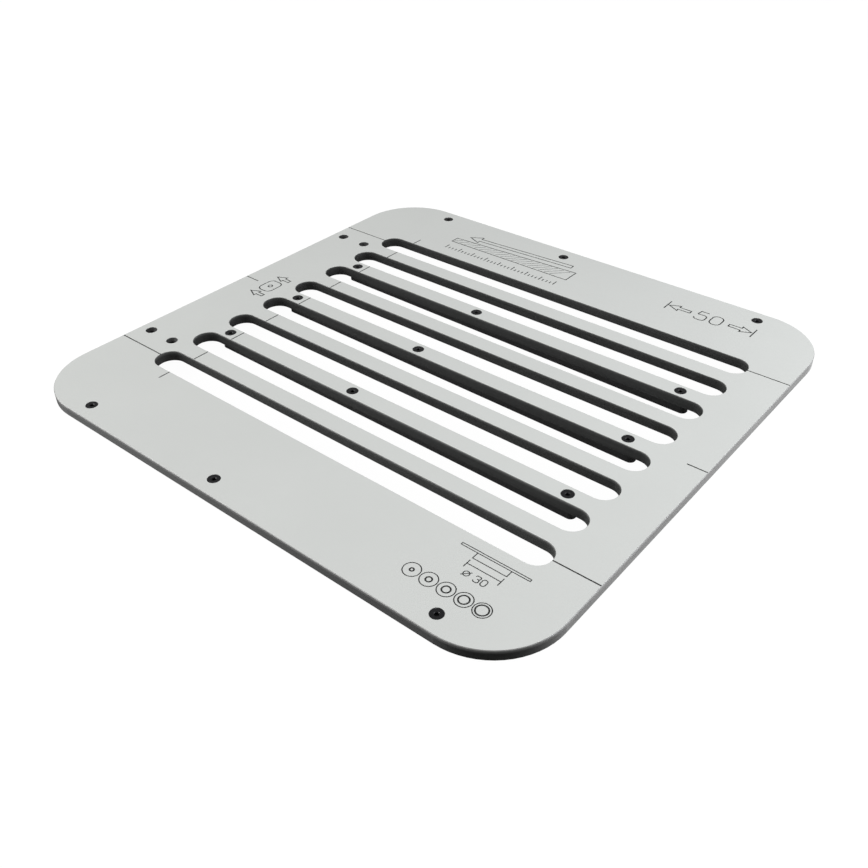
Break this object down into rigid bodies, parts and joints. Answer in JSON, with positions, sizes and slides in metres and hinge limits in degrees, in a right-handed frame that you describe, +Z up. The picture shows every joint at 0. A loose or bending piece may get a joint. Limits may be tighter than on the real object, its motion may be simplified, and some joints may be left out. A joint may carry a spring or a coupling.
{
  "type": "drainer groove router jig",
  "caption": "Flat laminate guide panel with parallel round-ended slots for a router guide bush, on tapered strips that make the routed grooves fall towards the sink",
  "frame": {"origin": "under the panel's centre, at the height of the strips' lowest edge", "axes": "+X along the slots, away from the sink; +Y from the front edge to the back edge; +Z up, normal to the panel"},
  "size_m": [0.5964, 0.584, 0.0212],
  "materials": {
    "core_black": "machined black phenolic core, satin",
    "decor_grey": "fine-grained light grey laminate face, low sheen",
    "strip_black": "machined black plastic, satin",
    "screw_black": "black oxide steel, satin"
  },
  "bodies": {
    "root": {"core_panel": "core_black", "top_decor_sheet": "decor_grey", "ramp_strip_1": "strip_black", "strip_1_screw_sink": "screw_black", "strip_1_screw_middle": "screw_black", "strip_1_screw_outer": "screw_black", "ramp_strip_2": "strip_black", "strip_2_screw_sink": "screw_black", "strip_2_screw_middle": "screw_black", "strip_2_screw_outer": "screw_black", "ramp_strip_3": "strip_black", "strip_3_screw_sink": "screw_black", "strip_3_screw_middle": "screw_black", "strip_3_screw_outer": "screw_black", "ramp_strip_4": "strip_black", "strip_4_screw_sink": "screw_black", "strip_4_screw_middle": "screw_black", "strip_4_screw_outer": "screw_black", "ramp_strip_5": "strip_black", "strip_5_screw_sink": "screw_black", "strip_5_screw_middle": "screw_black", "strip_5_screw_outer": "screw_black"}
  },
  "joints": []
}
